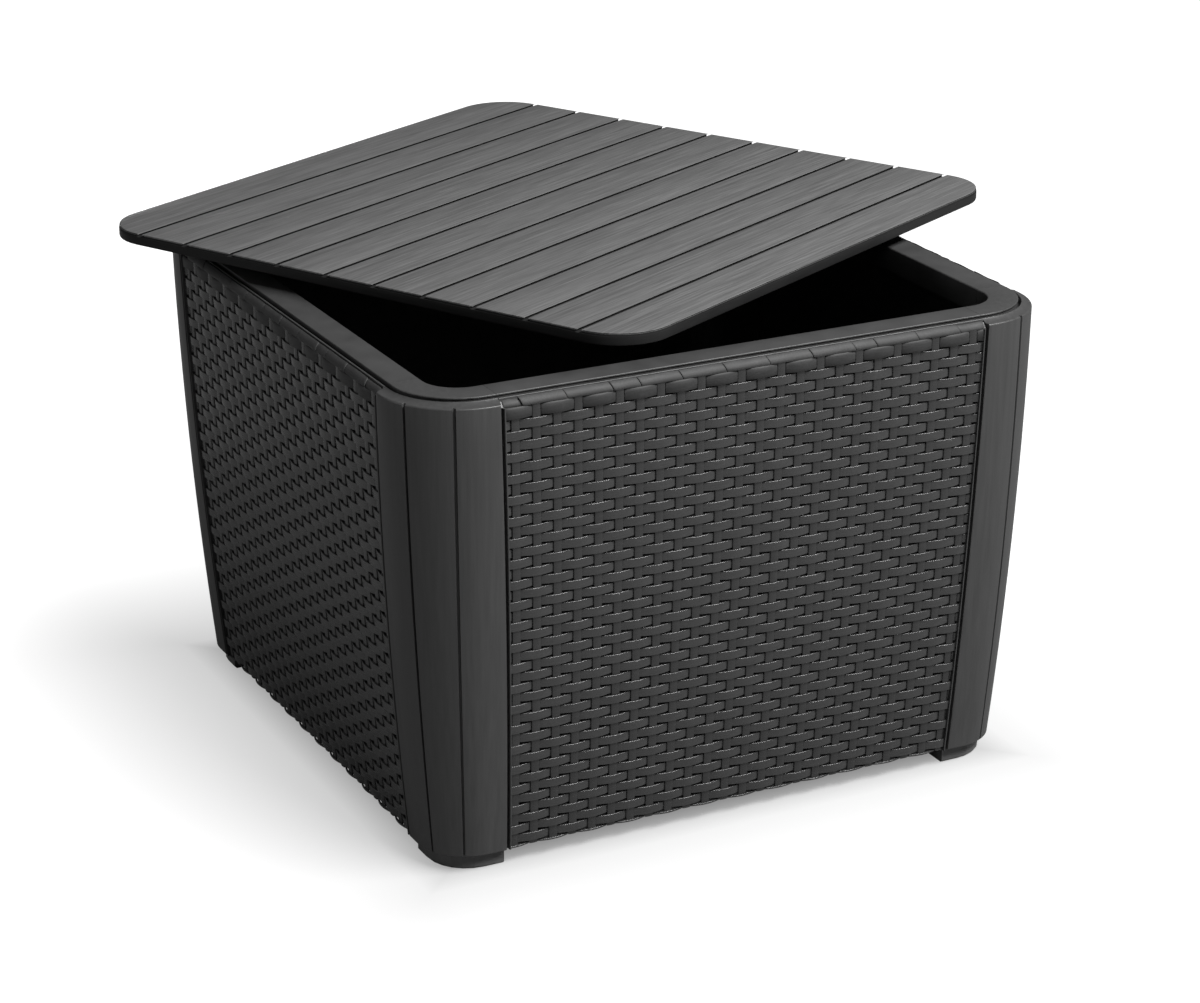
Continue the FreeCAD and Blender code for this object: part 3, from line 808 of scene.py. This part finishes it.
def lid_corners(inset=0.0):
    """Points of the lid's four rounded corners in plan, anticlockwise from the front left."""
    bend = LID_SIDE / 2 - LID_CORNER_R
    radius = LID_CORNER_R - inset
    corners = []
    for x, y, start in ((-bend, -bend, 180), (bend, -bend, 270), (bend, bend, 0), (-bend, bend, 90)):
        turns = [math.radians(turn) for turn in spread(start, start + 90, LID_CORNER_STEPS + 1)]
        corners.append([(x + radius * math.cos(turn), y + radius * math.sin(turn)) for turn in turns])
    return corners


def slat_outline(index):
    """Plan of one slat, anticlockwise, and for each of its edges whether it is on the lid's outside."""
    half = LID_SIDE / 2
    pitch = LID_SIDE / SLAT_COUNT
    low = -half + index * pitch + SLAT_GROOVE_WIDTH / 2
    high = -half + (index + 1) * pitch - SLAT_GROOVE_WIDTH / 2
    turn_in = half - SLAT_END
    front_left, front_right, back_right, back_left = lid_corners()
    points = [(-half, low), (-turn_in, low), (turn_in, low), (half, low)]
    outside = [False, False, False]
    if index == 0:
        points = front_left + front_right
        outside = [True] * (len(points) - 1)
    outside.append(True)
    if index == SLAT_COUNT - 1:
        points += back_right + back_left
        outside += [True] * len(back_right + back_left)
    else:
        points += [(half, high), (turn_in, high), (-turn_in, high), (-half, high)]
        outside += [False, False, False, True]
    return points, outside


def slat_plan(index):
    """Plan of a slat's cap, how far each edge is rounded, and the plan of the core under the cap."""
    outline, outside = slat_outline(index)
    outline = inset_outline(outline, [LID_EDGE_STEP if out else 0.0 for out in outside])
    rounds = [LID_EDGE_ROUND if out else SLAT_ROUND for out in outside]
    core = inset_outline(outline, [0.0 if out else SLAT_UNDERCUT for out in outside])
    return outline, rounds, core


def lowered_ring(plan, drops):
    """Ring under the lid's top, at each point by the mean drop of the two edges that meet there."""
    ring = []
    for index, (x, y) in enumerate(plan):
        ring.append((x, y, LID_TOP_Z - (drops[index] + drops[index - 1]) / 2))
    return ring


def slats_mesh():
    """Caps of the slats, with rounded edges."""
    builder = Builder()
    for index in range(SLAT_COUNT):
        outline, rounds, core = slat_plan(index)
        rings = [[(x, y, LID_TOP_Z - LID_EDGE_ROUND - SLAT_LIP) for x, y in core]]
        rings.append(lowered_ring(core, [r + SLAT_LIP for r in rounds]))
        for turn in spread(0.0, math.pi / 2, ROUND_STEPS + 1):
            plan = inset_outline(outline, [r * (1 - math.cos(turn)) for r in rounds])
            rings.append(lowered_ring(plan, [r * (1 - math.sin(turn)) for r in rounds]))
        builder.sweep(rings)
    return builder.make("lid_slats")


def lid_body_mesh():
    """Lid under its caps: cores of the slats, floor of the grooves, skirt, ribs and locating bars."""
    floor_z = LID_TOP_Z - SLAT_GROOVE_DEPTH
    skirt_z = LID_TOP_Z - LID_EDGE_HEIGHT
    under_z = LID_TOP_Z - LID_DECK_THICK
    levels = (
        (LID_SKIRT_THICK, under_z),
        (LID_SKIRT_THICK, skirt_z + CHAMFER),
        (LID_SKIRT_THICK - CHAMFER, skirt_z),
        (LID_SKIRT_ROUND, skirt_z),
        (LID_SKIRT_BEND, skirt_z + LID_SKIRT_BEND),
        (0.0, skirt_z + LID_SKIRT_ROUND),
        (0.0, floor_z),
    )
    builder = Builder()
    builder.sweep([[(x, y, z) for corner in lid_corners(inset) for x, y in corner] for inset, z in levels])
    core_levels = (floor_z - OVERLAP, LID_TOP_Z - SLAT_ROUND - SLAT_LIP - CORE_GAP)
    for index in range(SLAT_COUNT):
        plan = slat_plan(index)[2]
        core = inset_outline(plan, [CORE_INSET] * len(plan))
        builder.sweep([[(x, y, z) for x, y in core] for z in core_levels])
    top_z = under_z + OVERLAP
    reach = LID_SIDE / 2 - LID_SKIRT_THICK + OVERLAP
    half_rib = LID_RIB_THICK / 2
    for place in LID_RIB_PLACES:
        builder.block((-reach, place - half_rib, skirt_z), (reach, place + half_rib, top_z))
        builder.block((place - half_rib, -reach, skirt_z), (place + half_rib, reach, top_z))
    inner = BAR_OUTER_HALF - BAR_THICK
    for side in (-1, 1):
        low, high = sorted((side * inner, side * BAR_OUTER_HALF))
        builder.block((-BAR_HALF_LENGTH, low, RIM_TOP_Z), (BAR_HALF_LENGTH, high, top_z))
        builder.block((low, -BAR_HALF_LENGTH, RIM_TOP_Z), (high, BAR_HALF_LENGTH, top_z))
    return builder.make("lid_body")


def math_node(tree, operation, first, second):
    """Result of an operation on a value and another value or number."""
    node = tree.nodes.new("ShaderNodeMath")
    node.operation = operation
    tree.links.new(first, node.inputs[0])
    if isinstance(second, float):
        node.inputs[1].default_value = second
    else:
        tree.links.new(second, node.inputs[1])
    return node.outputs["Value"]


def vector_node(tree, operation, first, second=(0.0, 0.0, 0.0)):
    """Node with the result of an operation on a vector, or on that and three numbers."""
    node = tree.nodes.new("ShaderNodeVectorMath")
    node.operation = operation
    tree.links.new(first, node.inputs[0])
    node.inputs[1].default_value = second
    return node


def map_range(tree, value, before, after):
    """Value moved from one range, given as its low and high ends, to another."""
    node = tree.nodes.new("ShaderNodeMapRange")
    for name, number in zip(("From Min", "From Max", "To Min", "To Max"), before + after):
        node.inputs[name].default_value = number
    tree.links.new(value, node.inputs["Value"])
    return node.outputs["Result"]


class Shader:
    """Node material with a few helpers."""

    def __init__(self, name, specular=SPECULAR_LEVEL):
        self.material = bpy.data.materials.new(name)
        self.material.use_nodes = True
        self.tree = self.material.node_tree
        self.surface = self.tree.nodes["Principled BSDF"]
        self.surface.inputs["Specular IOR Level"].default_value = specular
        self.object_place = self.tree.nodes.new("ShaderNodeTexCoord").outputs["Object"]

    def link(self, output, target):
        """Link between two sockets."""
        self.tree.links.new(output, target)

    def noise(self, scale, detail, roughness=0.55):
        """Noise in object space, with its grains stretched by the three scales, which are per metre."""
        mapping = self.tree.nodes.new("ShaderNodeMapping")
        mapping.inputs["Scale"].default_value = scale
        self.link(self.object_place, mapping.inputs["Vector"])
        texture = self.tree.nodes.new("ShaderNodeTexNoise")
        texture.inputs["Scale"].default_value = 1.0
        texture.inputs["Detail"].default_value = detail
        texture.inputs["Roughness"].default_value = roughness
        self.link(mapping.outputs["Vector"], texture.inputs["Vector"])
        return texture.outputs["Fac"]

    def shades(self, value, grey, shares, places=NOISE_RANGE):
        """Colour that goes from one share of a grey to another, between two places of the value."""
        ramp = self.tree.nodes.new("ShaderNodeValToRGB")
        for element, place, share in zip(ramp.color_ramp.elements, places, shares):
            element.position = place
            element.color = (grey * share, grey * share, grey * share, 1.0)
        self.link(value, ramp.inputs["Fac"])
        return ramp.outputs["Color"]

    def mix(self, first, second, factor):
        """Mix of two colours, by a number or by a value."""
        node = self.tree.nodes.new("ShaderNodeMix")
        node.data_type = "RGBA"
        if isinstance(factor, float):
            node.inputs["Factor"].default_value = factor
        else:
            self.link(factor, node.inputs["Factor"])
        self.link(first, node.inputs["A"])
        self.link(second, node.inputs["B"])
        return node.outputs["Result"]

    def spread_noise(self, value, low, high):
        """Noise spread between two values."""
        return map_range(self.tree, value, NOISE_RANGE, (low, high))

    def bump(self, height, distance, before=None):
        """Bump of that many millimetres, over an earlier one."""
        node = self.tree.nodes.new("ShaderNodeBump")
        node.inputs["Distance"].default_value = distance * MM
        self.link(height, node.inputs["Height"])
        if before is not None:
            self.link(before, node.inputs["Normal"])
        return node.outputs["Normal"]

    def finish(self, color, roughness, normal):
        """The material, with what its surface is made of."""
        self.link(color, self.surface.inputs["Base Color"])
        self.link(roughness, self.surface.inputs["Roughness"])
        self.link(normal, self.surface.inputs["Normal"])
        return self.material


def plain_resin(name, grey, stretch, specular=SPECULAR_LEVEL):
    """Moulded resin with a faint directional grain and a fine grit."""
    shader = Shader(name, specular)
    grain = shader.noise(stretch, detail=6.0)
    grit = shader.noise(PLAIN_GRIT, detail=2.0)
    color = shader.shades(grain, grey, PLAIN_SHADES)
    normal = shader.bump(grit, GRIT_BUMP)
    normal = shader.bump(grain, PLAIN_BUMP, normal)
    return shader.finish(color, shader.spread_noise(grain, *PLAIN_ROUGHNESS), normal)


def weave_resin(name, grey, specular=WEAVE_SPECULAR, roughness=WEAVE_ROUGHNESS):
    """Resin moulded as split cane: fibres along each strand, with paler rubbed patches."""
    shader = Shader(name, specular)
    fibre = shader.noise(FIBRE_SCALE, detail=5.0, roughness=0.65)
    patches = shader.noise(RUBBED_SCALE, detail=3.0)
    grit = shader.noise(WEAVE_GRIT, detail=3.0)
    dark = shader.shades(fibre, grey, FIBRE_SHADES, FIBRE_RANGE)
    pale = shader.shades(grit, grey, RUBBED_SHADES, RUBBED_RANGE)
    color = shader.mix(dark, pale, shader.spread_noise(patches, 0.0, RUBBED_SHARE))
    normal = shader.bump(grit, GRIT_BUMP)
    normal = shader.bump(fibre, FIBRE_BUMP, normal)
    return shader.finish(color, shader.spread_noise(fibre, *roughness), normal)


def slat_resin(name, grey):
    """Resin moulded as brushed wood: long fine grain along the slats, with darker short pores."""
    shader = Shader(name)
    grain = shader.noise(WOOD_SCALE, detail=5.0, roughness=0.6)
    bands = shader.noise(BAND_SCALE, detail=3.0)
    pores = shader.noise(PORE_SCALE, detail=2.0, roughness=0.5)
    fine = shader.shades(grain, grey, WOOD_SHADES)
    broad = shader.shades(bands, grey, BAND_SHADES)
    color = shader.mix(fine, broad, BAND_SHARE)
    dark = shader.shades(pores, grey, PORE_SHADES, PORE_RANGE)
    color = shader.mix(color, dark, shader.spread_noise(pores, 0.0, PORE_SHARE))
    normal = shader.bump(grain, WOOD_BUMP)
    return shader.finish(color, shader.spread_noise(bands, *SLAT_ROUGHNESS), normal)


def looks():
    """Materials of all the looks."""
    return {
        "panel": plain_resin("panel_resin_plain", PANEL_GREY, PANEL_GRAIN),
        "weave": weave_resin("panel_resin_woven", WEAVE_GREY),
        # Stakes: the weave's resin with a painted shade, darker than the strands
        "stake": weave_resin("panel_resin_stakes_painted_shade", STAKE_PAINTED_SHADE_GREY),
        "roll": weave_resin("panel_resin_roll", ROLL_GREY, ROLL_SPECULAR, ROLL_ROUGHNESS),
        "post": plain_resin("post_resin_grained", POST_GREY, POST_GRAIN),
        "foot": plain_resin("foot_resin_plain", FOOT_GREY, FOOT_GRAIN),
        "slat": slat_resin("lid_resin_slats", SLAT_GREY),
        # Lid edges and grooves: the lid's resin with a painted shade, near black
        "edge": plain_resin("lid_resin_edge_painted_shade", LID_EDGE_PAINTED_SHADE_GREY, EDGE_GRAIN, EDGE_SPECULAR),
    }


def paint(piece, material):
    """Gives a piece that material and no other."""
    piece.data.materials.clear()
    piece.data.materials.append(material)


def dress(piece, material, body, slot, *nodes):
    """Gives a piece its material and body, and hides the CAD nodes that it stands for. The slot is not
    used.
    """
    paint(piece, material)
    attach(piece, body)
    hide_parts(*nodes)


def dress_walls(materials):
    """Panels and posts on all sides, as turned copies of the first."""
    kinds = (
        ("panel_body", panel_mesh(), "panel"),
        ("panel_stakes", stakes_mesh(), "stake"),
        ("panel_weave", weave_mesh(), "weave"),
        ("panel_roll", roll_mesh(), "roll"),
    )
    for kind, first, look in kinds:
        for side, angle in SIDES.items():
            piece = first if angle == 0 else turned_copy(first, side + "_" + kind, angle)
            dress(piece, materials[look], "box", "panel_resin", side + "_panel")
    first = post_mesh()
    for corner, angle in CORNERS.items():
        piece = first if angle == 0 else turned_copy(first, corner + "_post_skin", angle)
        dress(piece, materials["post"], "box", "post_resin", corner + "_post")


def dress_lid(materials):
    """Lid pieces, laid askew where the frame has the lid."""
    # The body under the caps takes the edge look, the lid's resin with a painted shade
    for piece, look in ((slats_mesh(), "slat"), (lid_body_mesh(), "edge")):
        piece.location = (LID_CENTRE.x * MM, LID_CENTRE.y * MM, 0)
        piece.rotation_euler.z = math.radians(LID_TURN)
        dress(piece, materials[look], "lid", "lid_resin", "lid")


def dress_frame_nodes(materials):
    """Nodes of the frame that stay in view."""
    for corner in CORNERS:
        paint(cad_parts[corner + "_foot"], materials["foot"])
    paint(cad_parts["floor_panel"], materials["panel"])


def area_light(name, place, target, width, depth, power):
    """Rectangular lamp at a place, facing a target."""
    light = bpy.data.lights.new(name, "AREA")
    light.shape = "RECTANGLE"
    light.size = width
    light.size_y = depth
    light.energy = power
    lamp = bpy.data.objects.new(name, light)
    lamp.location = place
    lamp.rotation_euler = (Vector(target) - Vector(place)).to_track_quat("-Z", "Y").to_euler()
    bpy.context.scene.collection.objects.link(lamp)


def seen_directly(tree):
    """1 for rays that show the background itself, and a share of that for the dull resin's reflections."""
    path = tree.nodes.new("ShaderNodeLightPath")
    total = path.outputs["Is Camera Ray"]
    for name, weight in (("Is Transmission Ray", 1.0), ("Is Glossy Ray", REFLECTED_SHARE)):
        part = math_node(tree, "MULTIPLY", path.outputs[name], weight)
        total = math_node(tree, "MAXIMUM", total, part)
    return total


def choose(tree, otherwise, shown, output):
    """Surface of a material or world: one shader for rays that show the background, one for all others."""
    choice = tree.nodes.new("ShaderNodeMixShader")
    tree.links.new(seen_directly(tree), choice.inputs["Fac"])
    tree.links.new(otherwise, choice.inputs[1])
    tree.links.new(shown, choice.inputs[2])
    tree.links.new(choice.outputs["Shader"], tree.nodes.new(output).inputs["Surface"])


def diffuse_shader(tree, grey):
    """Matt grey."""
    node = tree.nodes.new("ShaderNodeBsdfDiffuse")
    node.inputs["Color"].default_value = (grey, grey, grey, 1.0)
    return node.outputs["BSDF"]


def background_shader(tree, strength):
    """Plain white world."""
    node = tree.nodes.new("ShaderNodeBackground")
    node.inputs["Color"].default_value = WHITE
    node.inputs["Strength"].default_value = strength
    return node.outputs["Background"]


def floor_glow_and_painted_shadow(tree):
    """White of the floor, painted darker towards and under the object's footprint: a painted soft shadow
    and a painted contact shadow.
    """
    place = tree.nodes.new("ShaderNodeTexCoord").outputs["Object"]
    away = vector_node(tree, "ABSOLUTE", place).outputs["Vector"]
    footprint = (FLOOR_FOOTPRINT, FLOOR_FOOTPRINT, 0.0)
    past = vector_node(tree, "SUBTRACT", away, footprint).outputs["Vector"]
    past = vector_node(tree, "MAXIMUM", past).outputs["Vector"]
    distance = vector_node(tree, "LENGTH", past).outputs["Value"]
    # Painted shadow: the floor's white drops towards the footprint
    painted_shadow_fade = map_range(tree, distance, (0.0, FLOOR_PAINTED_SHADOW_REACH), (FLOOR_PAINTED_SHADOW_WHITE, 1.0))
    sides = tree.nodes.new("ShaderNodeSeparateXYZ")
    tree.links.new(away, sides.inputs["Vector"])
    farthest = math_node(tree, "MAXIMUM", sides.outputs["X"], sides.outputs["Y"])
    # Painted contact shadow: the white drops further under the box's bottom edges
    under = map_range(tree, farthest, (FLOOR_PAINTED_CONTACT_START, FLOOR_FOOTPRINT), (FLOOR_PAINTED_CONTACT_WHITE, 1.0))
    white = tree.nodes.new("ShaderNodeEmission")
    white.inputs["Color"].default_value = WHITE
    tree.links.new(math_node(tree, "MULTIPLY", painted_shadow_fade, under), white.inputs["Strength"])
    return white.outputs["Emission"]


def floor_material():
    """Floor that looks white, keeps the object's cast shadow, has a painted shadow round its footprint and
    throws little light back.
    """
    material = bpy.data.materials.new("studio_floor")
    material.use_nodes = True
    tree = material.node_tree
    tree.nodes.clear()
    shown = tree.nodes.new("ShaderNodeAddShader")
    tree.links.new(diffuse_shader(tree, FLOOR_SHADE), shown.inputs[0])
    tree.links.new(floor_glow_and_painted_shadow(tree), shown.inputs[1])
    choose(tree, diffuse_shader(tree, FLOOR_BOUNCE), shown.outputs["Shader"], "ShaderNodeOutputMaterial")
    return material


def stage():
    """White floor that keeps a cast shadow and has a painted shadow round the box, a plain world and three
    soft lamps.
    """
    reach = FLOOR_REACH / MM
    builder = Builder()
    builder.block((-reach, -reach, -FLOOR_THICK / MM), (reach, reach, 0.0))
    floor = builder.make("floor")
    paint(floor, floor_material())

    world = bpy.data.worlds.new("studio")
    bpy.context.scene.world = world
    world.use_nodes = True
    tree = world.node_tree
    tree.nodes.clear()
    choose(tree, background_shader(tree, WORLD_FILL), background_shader(tree, 1.0), "ShaderNodeOutputWorld")

    for lamp in LAMPS:
        area_light(*lamp)
    bpy.context.scene.view_settings.view_transform = "Standard"


def camera():
    """Camera of the photo."""
    data = bpy.data.cameras.new("camera")
    data.sensor_fit = "HORIZONTAL"
    data.sensor_width = CAMERA_SENSOR
    data.lens = CAMERA_LENS
    view = bpy.data.objects.new("camera", data)
    view.location = CAMERA_PLACE
    turn = Matrix.Rotation(math.radians(-CAMERA_YAW), 3, "Z")
    tilt = Matrix.Rotation(math.radians(90 - CAMERA_PITCH), 3, "X")
    roll = Matrix.Rotation(math.radians(CAMERA_ROLL), 3, "Z")
    view.rotation_euler = (turn @ tilt @ roll).to_euler()
    bpy.context.scene.collection.objects.link(view)
    bpy.context.scene.camera = view


LOOKS = looks()
camera()
stage()
dress_walls(LOOKS)
dress_lid(LOOKS)
dress_frame_nodes(LOOKS)
